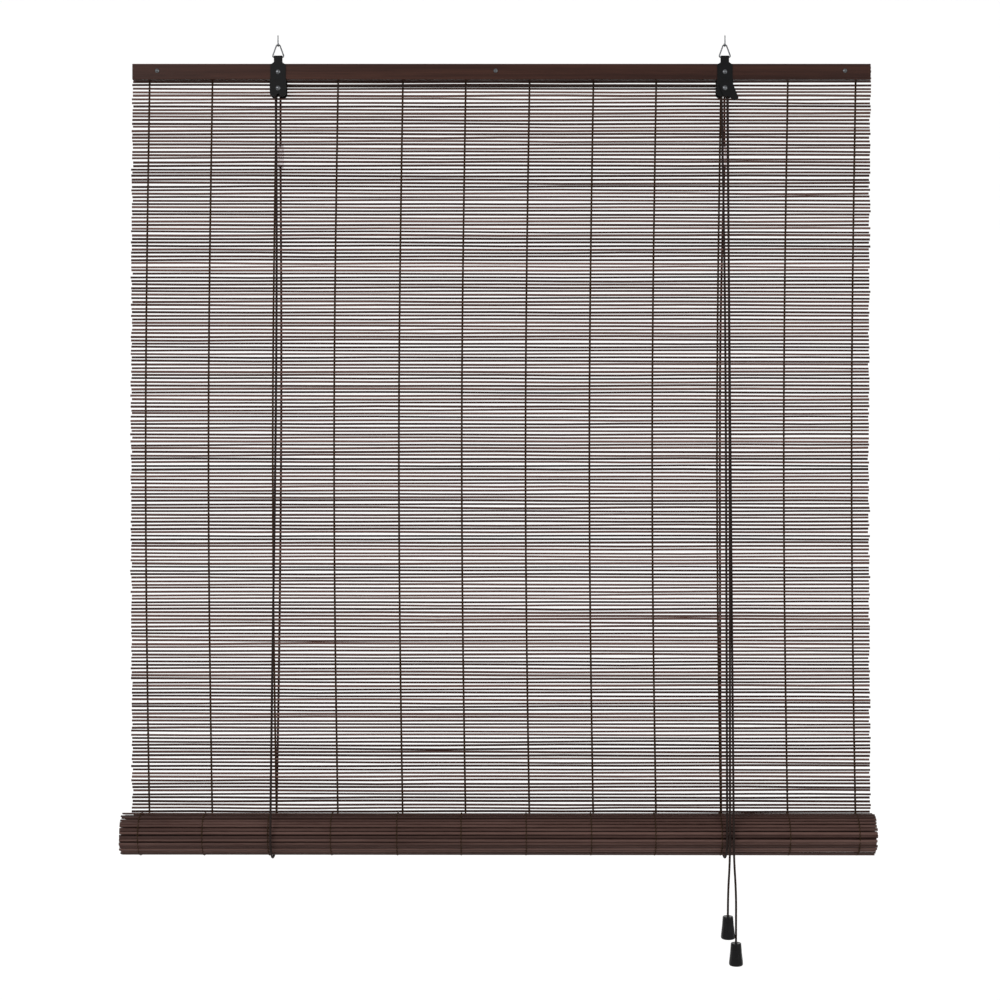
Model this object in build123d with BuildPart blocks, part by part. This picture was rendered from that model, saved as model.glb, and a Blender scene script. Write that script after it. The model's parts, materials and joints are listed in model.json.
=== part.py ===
from build123d import *
import math
import os

# Roll-up slat blind, millimetres, +Z up, -Y towards the room.
# The origin lies midway between the two hooks, on the line where their shanks leave the ceiling.

# ---- driving dimensions ----------------------------------------------------
blind_width = 1000.0        # slats and roll
rail_length = 995.0
drop_to_roll = 1034.0       # from the rail's top down to the roll's axis
bracket_x = 301.0           # each bracket from the blind's middle
rail_top = -32.5            # the rail's top edge below the ceiling line
rail_height = 21.0
rail_depth = 12.0
back_batten_depth = 5.0
back_batten_height = 18.0

slat_pitch = 4.73
slat_height = 2.8
slat_depth = 2.0
thread_width = 2.0
thread_depth = 0.5
thread_places = (-479.6, -394.5, -307.4, -224.3, -136.5, -51.3, 35.1, 121.6, 206.7, 294.5, 385.0, 476.9)
clamped_slats_count = 4

roll_radius = 28.8          # middle line of the outermost turn
roll_layer = 3.9            # from one turn to the next
roll_half_turns = 10
roll_sheet = 1.4
roll_x = -4.3                # the curtain winds up a little to the left

cord_radius = 1.2
hook_wire = 0.8             # wire radii
shank_radius = 0.7          # the hook's end in the ceiling
ring_wire = 0.95
sheet = 1.0                 # steel sheet of the brackets
loose = 0.3                 # room between pieces that swing loosely
shaft_fit = 0.06            # room round a shaft

hook_turn = 15.0            # each hook's plane about the vertical
ring_height = 16.6
ring_half_width = 8.1
ring_apex_half = 2.0

lever_swing = 21.4          # how far the lock lever stands open
tassel_height = 30.0
tassel_1_top = -1170.0
tassel_2_top = -1205.0

# ---- places worked out from them ------------------------------------------
rail_bottom = rail_top - rail_height
bight_radius = hook_wire + loose + ring_wire
ring_y = -bight_radius * math.cos(math.radians(hook_turn))
ring_z = -6.9
bar_z = ring_z - ring_height
shank_x = bracket_x + bight_radius * math.sin(math.radians(hook_turn))
shank_top = 6.5

loop_radius = ring_wire + loose + sheet / 2
plate_front_y = ring_y - loop_radius
rail_front = plate_front_y + sheet / 2
rail_back = rail_front + rail_depth
plate_back_y = rail_back - sheet / 2
panel_y = rail_back + thread_depth + slat_depth / 2
batten_front = panel_y + slat_depth / 2 + thread_depth

axle_z = rail_top - 33.0
upper_rivet_z = rail_top - 11.1
screw_z = rail_top - 9.5
bracket_bottom = rail_top - 44.1

rivet_radius = 1.5
groove_floor = 2.7
flange_radius = 5.4
cord_turn = groove_floor + loose + cord_radius
groove_width = 3.2
flange_width = 1.3
pulley_width = 10.6
pulley_front = (rail_front + plate_back_y - sheet / 2 - pulley_width) / 2
front_groove_y = pulley_front + flange_width + groove_width / 2
back_groove_y = pulley_front + pulley_width - flange_width - groove_width / 2

roll_z = rail_top - drop_to_roll
roll_y = panel_y - roll_radius
sling_radius = 31.8
cord_back_y = roll_y + sling_radius
cord_hole_y = cord_back_y + 0.8
left_cord_x = -305.4          # where each lifting cord passes under the roll
right_cord_x = 298.1
left_hole_x = -299.9          # where it leaves the rail's back strip
right_hole_x = 302.6

# breakaway connectors in the lifting cords, behind the slats
connector_width = 8.8
connector_depth = 5.8
connector_hollow = 2.3        # its half width
connector_top = -137.0
connector_bottom = -171.0
connector_wall = 1.0
connector_y = batten_front + 0.13 + connector_depth / 2
knot_radius = 1.9             # where a knot rests
rail_knot_height = 4.2
connector_knot_height = 3.2

os.makedirs("parts", exist_ok=True)


def save(piece, name):
    piece.label = name
    export_step(piece, f"parts/{name}.step")


def front_plane(x, y, z=0.0):
    return Plane(origin=(x, y, z), x_dir=(1, 0, 0), z_dir=(0, -1, 0))


def along_y(x, y, z):
    return Plane(origin=(x, y, z), x_dir=(1, 0, 0), z_dir=(0, 1, 0))


def along_x(x, y, z):
    return Plane(origin=(x, y, z), x_dir=(0, 1, 0), z_dir=(1, 0, 0))


def dome(radius, low, high):
    """Arc of a round cap whose centre is on the axis, from (radius, low) to (0, high)."""
    centre = (high ** 2 - low ** 2 - radius ** 2) / (2 * (high - low))
    cap = high - centre
    tilt = (math.atan2(low - centre, radius) + math.radians(90 if high > low else -90)) / 2
    return ThreePointArc((radius, low), (abs(cap) * math.cos(tilt), centre + abs(cap) * math.sin(tilt)), (0, high))


# ---- hooks, bent from round wire ------------------------------------------
def make_hook(side):
    forward = Vector(-side * math.sin(math.radians(hook_turn)), -math.cos(math.radians(hook_turn)), 0)
    bend_plane = Plane(origin=(side * shank_x, 0, 0), x_dir=forward, z_dir=forward.cross(Vector(0, 0, 1)))
    with BuildPart() as hook:
        with BuildLine(bend_plane) as wire:
            Line((0, 0), (0, ring_z))
            CenterArc((bight_radius, ring_z), bight_radius, 180, 180)
            Line((2 * bight_radius, ring_z), (2 * bight_radius, ring_z + 1.6))
        with BuildSketch(Plane(origin=wire.line @ 0, z_dir=wire.line % 0)):
            Circle(hook_wire)
        sweep()
        with BuildSketch(Plane.XY):
            with Locations((side * shank_x, 0)):
                Circle(shank_radius)
        extrude(amount=shank_top)
        chamfer(hook.edges().sort_by(Axis.Z)[-1], 0.3)
    return hook.part


save(make_hook(-1), "left_hook")
save(make_hook(1), "right_hook")


# ---- triangle rings, each one bent wire whose ends are welded -----------------
def make_ring(x):
    with BuildPart() as ring:
        with BuildLine(front_plane(x, ring_y)) as half:
            FilletPolyline(
                (0, bar_z),
                (ring_half_width, bar_z),
                (ring_apex_half, ring_z),
                (0, ring_z),
                radius=[1.8, 2.6],
            )
        with BuildSketch(Plane(origin=half.line @ 0, z_dir=half.line % 0)):
            Circle(ring_wire)
        sweep()
        mirror(about=Plane.YZ.offset(x))
    return ring.part


save(make_ring(-bracket_x), "left_ring")
save(make_ring(bracket_x), "right_ring")


# ---- brackets: one strip of steel folded over the ring and the rail ------------
def make_housing(x):
    neck = 5.6
    body = 10.3
    foot = 11.2
    with BuildPart() as housing:
        with BuildSketch(Plane.YZ.offset(x)):
            with BuildLine():
                fold = CenterArc((ring_y, bar_z), loop_radius, 0, 180)
                Line(fold @ 1, (plate_front_y, bracket_bottom))
                FilletPolyline(
                    fold @ 0,
                    (ring_y + loop_radius, rail_top + sheet / 2),
                    (plate_back_y, rail_top + sheet / 2),
                    (plate_back_y, bracket_bottom),
                    radius=0.8,
                )
            trace(line_width=sheet)
        extrude(amount=foot, both=True)
        with BuildSketch(front_plane(x, 0)) as outline:
            with BuildLine():
                half = Polyline(
                    (0, bar_z + 4),
                    (neck, bar_z + 4),
                    (neck, rail_top + 2),
                    (body, rail_top - 1.4),
                    (body, rail_bottom),
                    (foot, rail_bottom - 0.6),
                    (foot, bracket_bottom),
                    (3.0, bracket_bottom),
                    (0, bracket_bottom + 5),
                )
                mirror(half, about=Plane.YZ)
            make_face()
            fillet(outline.vertices().group_by(Axis.Y)[0].sort_by(Axis.X)[0], 5)
            fillet(outline.vertices().group_by(Axis.Y)[0].sort_by(Axis.X)[-1], 5)
        extrude(amount=40, both=True, mode=Mode.INTERSECT)
        for z in (upper_rivet_z, axle_z):
            with BuildSketch(along_y(x, 0, z)):
                Circle(rivet_radius)
            extrude(amount=40, both=True, mode=Mode.SUBTRACT)
    return housing.part


left_housing = make_housing(-bracket_x)
right_housing = make_housing(bracket_x)
save(left_housing, "left_bracket")
save(right_housing, "right_bracket")


# ---- rivets: a domed head in front, the tail peened flush at the back ----------
def make_rivet(x, z, seat_y, head_radius, head_height):
    with BuildPart() as rivet:
        with BuildSketch(Plane(origin=(x, seat_y, z), x_dir=(1, 0, 0), z_dir=(0, 0, 1))):
            with BuildLine():
                rim = Line((rivet_radius, 0), (head_radius, 0))
                Line(rim @ 1, (head_radius, -0.4))
                dome(head_radius, -0.4, -head_height)
                Line((0, -head_height), (0, rail_back - seat_y))
                Line((0, rail_back - seat_y), (rivet_radius, rail_back - seat_y))
                Line((rivet_radius, rail_back - seat_y), (rivet_radius, 0))
            make_face()
        revolve(axis=Axis((x, 0, z), (0, 1, 0)))
    return rivet.part


plate_face = plate_front_y - sheet / 2
lever_back = plate_face - 0.1
lever_sheet = 1.2
left_upper = make_rivet(-bracket_x, upper_rivet_z, plate_face, 3.0, 1.5)
right_upper = make_rivet(bracket_x, upper_rivet_z, plate_face, 3.0, 1.5)
save(left_upper, "left_upper_rivet")
save(right_upper, "right_upper_rivet")
save(make_rivet(-bracket_x, axle_z, plate_face, 3.3, 1.8), "left_axle_rivet")
save(make_rivet(bracket_x, axle_z, lever_back - lever_sheet - 0.1, 3.3, 1.8), "right_axle_rivet")


# ---- pulleys with two cord grooves ---------------------------------------------
def make_pulley(x):
    mid_flange = pulley_width - 2 * flange_width - 2 * groove_width
    with BuildPart() as pulley:
        with BuildSketch(Plane(origin=(x, pulley_front, axle_z), x_dir=(1, 0, 0), z_dir=(0, 0, 1))):
            with Locations((rivet_radius + shaft_fit, 0)):
                Rectangle(flange_radius - rivet_radius - shaft_fit, pulley_width, align=(Align.MIN, Align.MIN))
            for start in (flange_width, flange_width + groove_width + mid_flange):
                with Locations((groove_floor, start)):
                    Rectangle(flange_radius, groove_width, align=(Align.MIN, Align.MIN), mode=Mode.SUBTRACT)
        revolve(axis=Axis((x, 0, axle_z), (0, 1, 0)))
    return pulley.part


save(make_pulley(-bracket_x), "left_pulley")
save(make_pulley(bracket_x), "right_pulley")

# ---- cord-lock lever, swung out to the right --------------------------------------
lever_corners = ((-6.0, 8.0), (12.0, 8.0), (12.0, -20.4), (4.5, -20.4), (1.0, -13.0), (-6.0, -9.0))
lever_corner_radius = 2.2
swing = math.radians(lever_swing)
lever_plane = Plane(
    origin=(bracket_x, lever_back, axle_z),
    x_dir=(math.cos(swing), 0, math.sin(swing)),
    z_dir=(0, -1, 0),
)
with BuildPart() as lock_lever:
    with BuildSketch(lever_plane) as lever_outline:
        with BuildLine():
            Polyline(*lever_corners, lever_corners[0])
        make_face()
        fillet(lever_outline.vertices(), lever_corner_radius)
        Circle(rivet_radius + shaft_fit, mode=Mode.SUBTRACT)
    extrude(amount=lever_sheet)
save(lock_lever.part, "lock_lever")

# ---- screws that clamp the slats between the rail's two strips -------------------
screw_places = (-464.0, -8.0, 463.0)
screw_radius = 0.9             # slim enough to pass between two slats
screw_length = 17.0
screw_head = 2.8
screw_head_height = 1.7
screw_rim = 0.5
cross_floor = 1.1
cross_length = 3.2
cross_width = 0.7
with BuildPart() as rail_screws:
    for x in screw_places:
        with BuildSketch(Plane(origin=(x, rail_front, screw_z), x_dir=(1, 0, 0), z_dir=(0, 0, 1))):
            with BuildLine():
                Polyline(
                    (0, -screw_head_height), (0, screw_length), (screw_radius, screw_length - 1.8),
                    (screw_radius, 0), (screw_head, 0), (screw_head, -screw_rim),
                )
                dome(screw_head, -screw_rim, -screw_head_height)
            make_face()
        revolve(axis=Axis((x, 0, screw_z), (0, 1, 0)))
        with BuildSketch(front_plane(x, rail_front - cross_floor, screw_z)):
            Rectangle(cross_length, cross_width)
            Rectangle(cross_width, cross_length)
        extrude(amount=1.0, mode=Mode.SUBTRACT)
save(rail_screws.part, "rail_screws")

# ---- head rail --------------------------------------------------------------------
with BuildPart() as front_rail:
    with BuildSketch(Plane.YZ.offset(-rail_length / 2)) as rail_section:
        with Locations((rail_front, rail_bottom)):
            Rectangle(rail_depth, rail_height, align=(Align.MIN, Align.MIN))
        fillet(rail_section.vertices(), 0.8)
    extrude(amount=rail_length)
    add(left_housing, mode=Mode.SUBTRACT)
    add(right_housing, mode=Mode.SUBTRACT)
    add(left_upper, mode=Mode.SUBTRACT)
    add(right_upper, mode=Mode.SUBTRACT)
    add(rail_screws.part, mode=Mode.SUBTRACT)
save(front_rail.part, "front_rail")

batten_top = rail_top - 1.5
with BuildPart() as back_batten:
    with BuildSketch(Plane.YZ.offset(-rail_length / 2)) as batten_section:
        with Locations((batten_front, batten_top)):
            Rectangle(back_batten_depth, back_batten_height, align=(Align.MIN, Align.MAX))
        fillet(batten_section.vertices(), 0.6)
    extrude(amount=rail_length)
    with BuildSketch(Plane.XY.offset(batten_top)):
        with Locations((left_hole_x, cord_hole_y), (right_hole_x, cord_hole_y)):
            Circle(cord_radius + 0.1)
    extrude(amount=-back_batten_height, mode=Mode.SUBTRACT)
    add(rail_screws.part, mode=Mode.SUBTRACT)
save(back_batten.part, "back_batten")


# ---- slats ------------------------------------------------------------------------
first_slat_z = screw_z + 1.5 * slat_pitch
slat_places = [first_slat_z - k * slat_pitch for k in range(400)]
clamped_places = slat_places[:clamped_slats_count]
hanging_places = [z for z in slat_places[clamped_slats_count:] if z > roll_z + slat_height / 2 + loose]


def make_slats(places):
    with BuildPart() as slats:
        with BuildSketch(Plane.YZ.offset(-blind_width / 2)):
            with Locations([(panel_y, z) for z in places]):
                Rectangle(slat_depth, slat_height)
        extrude(amount=blind_width)
    return slats.part


save(make_slats(clamped_places), "clamped_slats")
save(make_slats(hanging_places), "hanging_slats")

# ---- warp threads: one strand before and one behind the slats ----------------------
thread_top = rail_bottom + 3.0
thread_bottom = roll_z + loose
for number, x in enumerate(thread_places, start=1):
    with BuildPart() as warp_thread:
        with BuildSketch(Plane.XY.offset(thread_bottom)):
            for side in (-1, 1):
                with Locations((x, panel_y + side * (slat_depth + thread_depth) / 2)):
                    Rectangle(thread_width, thread_depth)
        extrude(amount=thread_top - thread_bottom)
    save(warp_thread.part, f"warp_thread_{number:02d}")

# ---- the rolled part of the curtain, and the batten at its heart -----------------------
half_layer = roll_layer / 2


def half_turn(k, side):
    radius = roll_radius - k * half_layer + side * roll_sheet / 2
    upper = k % 2
    return CenterArc((-half_layer * upper, 0), radius, 180 * upper, -180)


with BuildPart() as rolled_curtain:
    with BuildSketch(along_x(roll_x - blind_width / 2, roll_y, roll_z)):
        with BuildLine():
            outer = [half_turn(k, 1) for k in range(roll_half_turns)]
            inner = [half_turn(k, -1) for k in range(roll_half_turns)]
            Line(outer[0] @ 0, inner[0] @ 0)
            Line(outer[-1] @ 1, inner[-1] @ 1)
        make_face()
    extrude(amount=blind_width)
save(rolled_curtain.part, "rolled_curtain")

core_height = 16.0
core_depth = 8.0
with BuildPart() as bottom_batten:
    with BuildSketch(along_x(roll_x - blind_width / 2, roll_y - half_layer / 2, roll_z)) as core:
        Rectangle(core_height, core_depth)
        fillet(core.vertices(), core_depth / 4)
    extrude(amount=blind_width)
save(bottom_batten.part, "bottom_batten")


# ---- cords ------------------------------------------------------------------------
def corner_radii(points):
    radii = []
    for a, b, c in zip(points, points[1:], points[2:]):
        first = Vector(*b) - Vector(*a)
        second = Vector(*c) - Vector(*b)
        turn = math.radians(first.get_angle(second))
        radii.append(0.45 * min(first.length, second.length) / math.tan(turn / 2))
    return radii


def make_run(points, name):
    radii = corner_radii(points)
    with BuildPart() as run:
        with BuildLine() as route:
            if radii:
                FilletPolyline(*points, radius=radii)
            else:
                Line(*points)
        with BuildSketch(Plane(origin=route.line @ 0, z_dir=route.line % 0)):
            Circle(cord_radius)
        sweep()
    length = route.wire().length
    section = math.pi * cord_radius ** 2
    print(f"{name}: length {length:.1f}, radii {[round(r) for r in radii]},"
          f" volume / (section x length) {run.part.volume / section / length:.4f}")
    save(run.part, name)


def touch_point(top_y):
    # the tangent point of a straight line from (top_y, axle_z) to the circle round the roll
    reach = math.hypot(top_y - roll_y, axle_z - roll_z)
    toward = math.atan2(axle_z - roll_z, top_y - roll_y)
    angle = toward + math.acos(sling_radius / reach)
    return angle, (roll_y + sling_radius * math.cos(angle), roll_z + sling_radius * math.sin(angle))


def make_sling(x, top_y, name):
    angle, _ = touch_point(top_y)
    sweep_angle = -(360 - math.degrees(angle))
    with BuildPart() as sling:
        with BuildLine(along_x(x, roll_y, roll_z)) as bight:
            CenterArc((0, 0), sling_radius, 0, sweep_angle)
        with BuildSketch(Plane(origin=bight.line @ 0, z_dir=bight.line % 0)):
            Circle(cord_radius)
        sweep()
    print(f"{name}: length {bight.wire().length:.1f}")
    save(sling.part, name)


def make_knot(x, y, floor, rise):
    # half of a knot's section, flat where it rests and domed away from there, turned about the cord
    with BuildPart() as knot:
        with BuildSketch(Plane(origin=(x, y, floor), x_dir=(1, 0, 0), z_dir=(0, -1, 0))):
            with BuildLine():
                Line((0, 0), (knot_radius, 0))
                dome(knot_radius, 0, rise)
                Line((0, rise), (0, 0))
            make_face()
        revolve(axis=Axis((x, y, 0), (0, 0, 1)))
    return knot.part


upper_knot_z = connector_top - connector_wall
lower_knot_z = connector_bottom + connector_wall
with BuildPart() as lift_cord_knots:
    for x in (left_hole_x, right_hole_x):
        add(make_knot(x, cord_hole_y, batten_top, rail_knot_height))
        add(make_knot(x, connector_y, upper_knot_z, -connector_knot_height))
        add(make_knot(x, connector_y, lower_knot_z, connector_knot_height))
save(lift_cord_knots.part, "lift_cord_knots")


def make_connector(x):
    # a clear case open towards the wall, with a slot in each end that lets a knotted cord in
    height = connector_top - connector_bottom
    slot = 2 * (cord_radius + 0.1)
    with BuildPart() as case:
        with BuildSketch(Plane.XY.offset(connector_bottom)) as outline:
            with Locations((x, connector_y)):
                RectangleRounded(connector_width, connector_depth, 2.0)
        extrude(amount=height)
        for width, start, depth in (
            (2 * connector_hollow, lower_knot_z, upper_knot_z - lower_knot_z),
            (slot, connector_bottom, height),
        ):
            with BuildSketch(Plane.XY.offset(start)):
                with Locations((x, connector_y)):
                    Circle(width / 2)
                    Rectangle(width, connector_depth, align=(Align.CENTER, Align.MIN))
            extrude(amount=depth, mode=Mode.SUBTRACT)
    return case.part


save(make_connector(left_hole_x), "left_connector")
save(make_connector(right_hole_x), "right_connector")


def over(touch):
    # a cord lies upright against the roll for the last stretch above its side
    return (touch[0], touch[1], touch[2] + 12.0)


def under(top):
    # and it leaves a pulley upright
    return (top[0], top[1], top[2] - 6.0)


def between(start, end, bends):
    # a run from start to end through bends of (x, z), each as far forward as the straight line is there
    middle = []
    for x, z in bends:
        share = (z - start[2]) / (end[2] - start[2])
        middle.append((x, start[1] + share * (end[1] - start[1]), z))
    return [start, *middle, end]


# side, x under the roll, x at the rail, x at the pulley, groove, then the bends of the back and front runs
lift_cords = (
    (
        "left", left_cord_x, left_hole_x, -bracket_x - cord_turn, back_groove_y,
        ((-298.7, -350.0), (-298.9, -560.0), (-301.4, -830.0)),
        ((-302.2, -260.0), (-301.8, -560.0), (-304.8, -880.0)),
    ),
    (
        "right", right_cord_x, right_hole_x, bracket_x - cord_turn, front_groove_y,
        ((297.2, -350.0), (296.2, -560.0), (296.8, -860.0)),
        ((299.6, -300.0), (299.9, -520.0), (298.7, -860.0)),
    ),
)
for side, x, hole_x, top_x, top_y, back_bends, front_bends in lift_cords:
    _, (touch_y, touch_z) = touch_point(top_y)
    make_run([(hole_x, cord_hole_y, batten_top), (hole_x, connector_y, upper_knot_z)], f"{side}_cord_top")
    sling_start = (x, cord_back_y, roll_z)
    below = between((hole_x, connector_y, lower_knot_z), over(sling_start), back_bends)
    make_run([*below, sling_start], f"{side}_cord_back_run")
    make_sling(x, top_y, f"{side}_cord_sling")
    pulley_side = (top_x, top_y, axle_z)
    before = between(under(pulley_side), (x, touch_y, touch_z), front_bends)
    make_run([pulley_side, *before], f"{side}_cord_front_run")

# over the left pulley, along under the rail and over the right pulley
with BuildPart() as cross_cord:
    with BuildLine(front_plane(0, back_groove_y)) as crossing:
        CenterArc((-bracket_x, axle_z), cord_turn, 180, -90)
        Line((-bracket_x, axle_z + cord_turn), (bracket_x, axle_z + cord_turn))
        CenterArc((bracket_x, axle_z), cord_turn, 90, -90)
    with BuildSketch(Plane(origin=crossing.line @ 0, z_dir=crossing.line % 0)):
        Circle(cord_radius)
    sweep()
save(cross_cord.part, "cross_cord")

with BuildPart() as right_cord_turn:
    with BuildLine(front_plane(0, front_groove_y)) as turn_over:
        CenterArc((bracket_x, axle_z), cord_turn, 180, -180)
    with BuildSketch(Plane(origin=turn_over.line @ 0, z_dir=turn_over.line % 0)):
        Circle(cord_radius)
    sweep()
save(right_cord_turn.part, "right_cord_turn")

# ---- pull cords: down from the right bracket, over the roll's front, to the tassels ----
pull_front = roll_y - sling_radius
pull_top_x = bracket_x + cord_turn
pull_1_top = (pull_top_x, front_groove_y, axle_z)
pull_1_touch = (301.8, pull_front, roll_z)
pull_1_low = [
    pull_1_touch,
    (301.8, pull_front, -1096.0),
    (299.0, pull_front, -1141.0),
    (299.0, pull_front, tassel_1_top),
]
pull_2_top = (pull_top_x, back_groove_y, axle_z)
pull_2_touch = (306.8, pull_front, roll_z)
pull_2_low = [
    pull_2_touch,
    (306.8, pull_front, -1091.0),
    (309.8, pull_front - 0.8, -1140.0),
    (309.6, pull_front - 0.8, -1180.0),
    (309.6, pull_front - 0.8, tassel_2_top),
]


pull_1_above = between(under(pull_1_top), over(pull_1_touch), [(304.9, -540.0)])
make_run([pull_1_top, *pull_1_above, pull_1_touch], "pull_cord_1_upper")
make_run(pull_1_low, "pull_cord_1_lower")
make_run([pull_2_top, under(pull_2_top), over(pull_2_touch), pull_2_touch], "pull_cord_2_upper")
make_run(pull_2_low, "pull_cord_2_lower")


# ---- tassels: moulded bells with the cord's knot inside ------------------------------
tassel_top_radius = 6.7
tassel_widest = 9.2
tassel_foot_radius = 7.8
tassel_mouth = 6.5
tassel_throat = 5.0
tassel_roof = 6.0              # solid above the hollow
tassel_hole = cord_radius + 0.1
tassel_knot_radius = 2.4
tassel_knot_bottom = 11.5


def make_tassel(top):
    x, y, z = top
    with BuildPart() as tassel:
        with BuildSketch(Plane(origin=(x, y, z), x_dir=(1, 0, 0), z_dir=(0, -1, 0))) as bell:
            with BuildLine():
                Polyline(
                    (tassel_hole, 0), (tassel_top_radius, 0), (tassel_widest, 3.0 - tassel_height),
                    (tassel_foot_radius, -tassel_height), (tassel_mouth, -tassel_height),
                    (tassel_throat, -tassel_roof), (tassel_hole, -tassel_roof), (tassel_hole, 0),
                )
            make_face()
            fillet(bell.vertices().sort_by(Axis.X)[-1], 1.5)
        revolve(axis=Axis((x, y, 0), (0, 0, 1)))
    return tassel.part


def make_tassel_knot(top):
    x, y, z = top
    with BuildPart() as knot:
        with BuildSketch(Plane(origin=(x, y, z), x_dir=(1, 0, 0), z_dir=(0, -1, 0))):
            with BuildLine():
                Polyline((0, 0), (cord_radius, 0), (cord_radius, -tassel_roof), (tassel_knot_radius, -tassel_roof))
                dome(tassel_knot_radius, -tassel_roof, -tassel_knot_bottom)
                Line((0, -tassel_knot_bottom), (0, 0))
            make_face()
        revolve(axis=Axis((x, y, 0), (0, 0, 1)))
    return knot.part


for number, top in ((1, pull_1_low[-1]), (2, pull_2_low[-1])):
    save(make_tassel(top), f"tassel_{number}")
    save(make_tassel_knot(top), f"tassel_{number}_knot")
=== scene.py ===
# %% [markdown]
# # A roll-up blind of stained bamboo
# The blind hangs from two hooks. Thin bamboo slats are tied side by side with threads into a
# curtain, and two cords pass under the roll at its foot. Pulling their tassels turns the roll up.
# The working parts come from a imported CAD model, which this script loads as a fixed frame. The
# script adds what the eye sees: slats, threads, braided cords, grain, paint and light.

# %% Load the frame
import json
import math
import bpy
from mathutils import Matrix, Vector


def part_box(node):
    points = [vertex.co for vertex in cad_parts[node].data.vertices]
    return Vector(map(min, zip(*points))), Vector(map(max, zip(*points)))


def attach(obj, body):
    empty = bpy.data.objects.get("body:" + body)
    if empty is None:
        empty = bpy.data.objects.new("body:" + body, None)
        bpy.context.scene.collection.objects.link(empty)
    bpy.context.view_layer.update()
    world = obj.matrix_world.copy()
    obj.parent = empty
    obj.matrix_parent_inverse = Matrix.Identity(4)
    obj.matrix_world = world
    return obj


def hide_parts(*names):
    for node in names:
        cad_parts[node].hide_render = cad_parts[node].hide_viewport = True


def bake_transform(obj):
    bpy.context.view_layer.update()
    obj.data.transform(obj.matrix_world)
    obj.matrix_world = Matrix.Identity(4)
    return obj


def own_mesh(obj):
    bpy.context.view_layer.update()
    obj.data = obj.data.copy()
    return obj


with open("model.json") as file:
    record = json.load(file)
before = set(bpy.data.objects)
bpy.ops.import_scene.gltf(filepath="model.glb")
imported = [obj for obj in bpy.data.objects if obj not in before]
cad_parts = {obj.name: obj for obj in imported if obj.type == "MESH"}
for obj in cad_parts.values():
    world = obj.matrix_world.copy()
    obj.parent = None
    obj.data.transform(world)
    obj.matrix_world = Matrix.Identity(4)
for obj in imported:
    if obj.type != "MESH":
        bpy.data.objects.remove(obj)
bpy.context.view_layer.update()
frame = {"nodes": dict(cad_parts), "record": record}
mm = 0.001

# %% [markdown]
# ## Sizes that everything shares
# A node's box gives its lowest and highest corner, so places are read from the frame and not typed
# again. The slats' size and pitch and the cord's radius repeat the CAD model's. Its cord is thinner
# than the real one, so the braid that is seen is made thicker, by the factor braid_fullness. The
# curtain hangs from a level a little above the rail's lower edge, where its threads start.

# %% Read places from the frame
slat_pitch = 4.73 * mm
slat_height = 2.8 * mm
slat_depth = 2.0 * mm
thread_radius = 0.8 * mm
thread_spread = 0.6 * mm
cord_radius = 1.2 * mm
braid_fullness = 1.25
roll_layer = 3.9 * mm
roll_slack = 0.7 * mm

rail_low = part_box("front_rail")[0]
panel_low, panel_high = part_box("hanging_slats")
clamp_low, clamp_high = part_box("clamped_slats")
roll_low, roll_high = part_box("rolled_curtain")
panel_y = (panel_low.y + panel_high.y) / 2
blind_width = panel_high.x - panel_low.x
roll_y = (roll_low.y + roll_high.y) / 2
roll_z = roll_low.z + (roll_high.y - roll_low.y) / 2
roll_radius = (roll_high.y - roll_low.y) / 2 - roll_slack
roll_x = (roll_low.x + roll_high.x) / 2
print("panel y", round(panel_y, 4), "roll axis", round(roll_y, 4), round(roll_z, 4))
print("roll radius", round(roll_radius, 4))

# %% [markdown]
# ## The camera
# It stands level with the middle of the blind, 2.4 m in front of it, so the roll and the cords, which
# are nearer, look a little larger than the slats. The lens follows from the width that it has to see.

# %% Place the camera
camera_distance = 2.4
seen_width = 1.355
camera_x, camera_z = -0.002, -0.6204
sensor = 36.0
camera_data = bpy.data.cameras.new("camera")
camera_data.sensor_width = sensor
camera_data.lens = sensor * camera_distance / seen_width
camera = bpy.data.objects.new("camera", camera_data)
camera.location = (camera_x, panel_y - camera_distance, camera_z)
camera.rotation_euler = (math.radians(90), 0, 0)
bpy.context.scene.collection.objects.link(camera)
bpy.context.scene.camera = camera
print("lens", round(camera_data.lens, 1), "mm")

# %% [markdown]
# ## Colours and the node helper
# Colours are written as sRGB hex, the way a paint card gives them, and one function turns them into
# the linear values that Blender renders with. One more function adds a node, sets it and links it.

# %% Helpers for colours and nodes
def colour(code):
    """sRGB hex to linear RGBA."""
    channels = [int(code[i:i + 2], 16) / 255 for i in (1, 3, 5)]
    linear = [c / 12.92 if c <= 0.04045 else ((c + 0.055) / 1.055) ** 2.4 for c in channels]
    return (*linear, 1.0)


def add(tree, kind, inputs=None, **settings):
    """Adds a node. inputs maps a socket's name or number to a value or to an output to link."""
    made = tree.nodes.new(kind)
    for name, value in settings.items():
        setattr(made, name, value)
    for key, value in (inputs or {}).items():
        if isinstance(value, bpy.types.NodeSocket):
            tree.links.new(value, made.inputs[key])
        else:
            made.inputs[key].default_value = value
    return made


def start_material(name):
    material = bpy.data.materials.new(name)
    material.use_nodes = True
    material.node_tree.nodes.clear()
    return material, material.node_tree


def finish_material(tree, **sockets):
    """Adds the surface shader; a keyword with underscores names a socket."""
    shader = add(tree, "ShaderNodeBsdfPrincipled", {k.replace("_", " "): v for k, v in sockets.items()})
    add(tree, "ShaderNodeOutputMaterial", {"Surface": shader.outputs[0]})


def ramp(tree, factor, *stops):
    """A colour ramp through (place, hex) stops."""
    made = add(tree, "ShaderNodeValToRGB", {"Fac": factor})
    while len(made.color_ramp.elements) < len(stops):
        made.color_ramp.elements.new(0.5)
    for element, (place, code) in zip(made.color_ramp.elements, stops):
        element.position = place
        element.color = colour(code)
    return made.outputs["Color"]


def bump(tree, height, strength, distance):
    made = add(tree, "ShaderNodeBump", {"Height": height, "Strength": strength, "Distance": distance})
    return made.outputs["Normal"]


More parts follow.
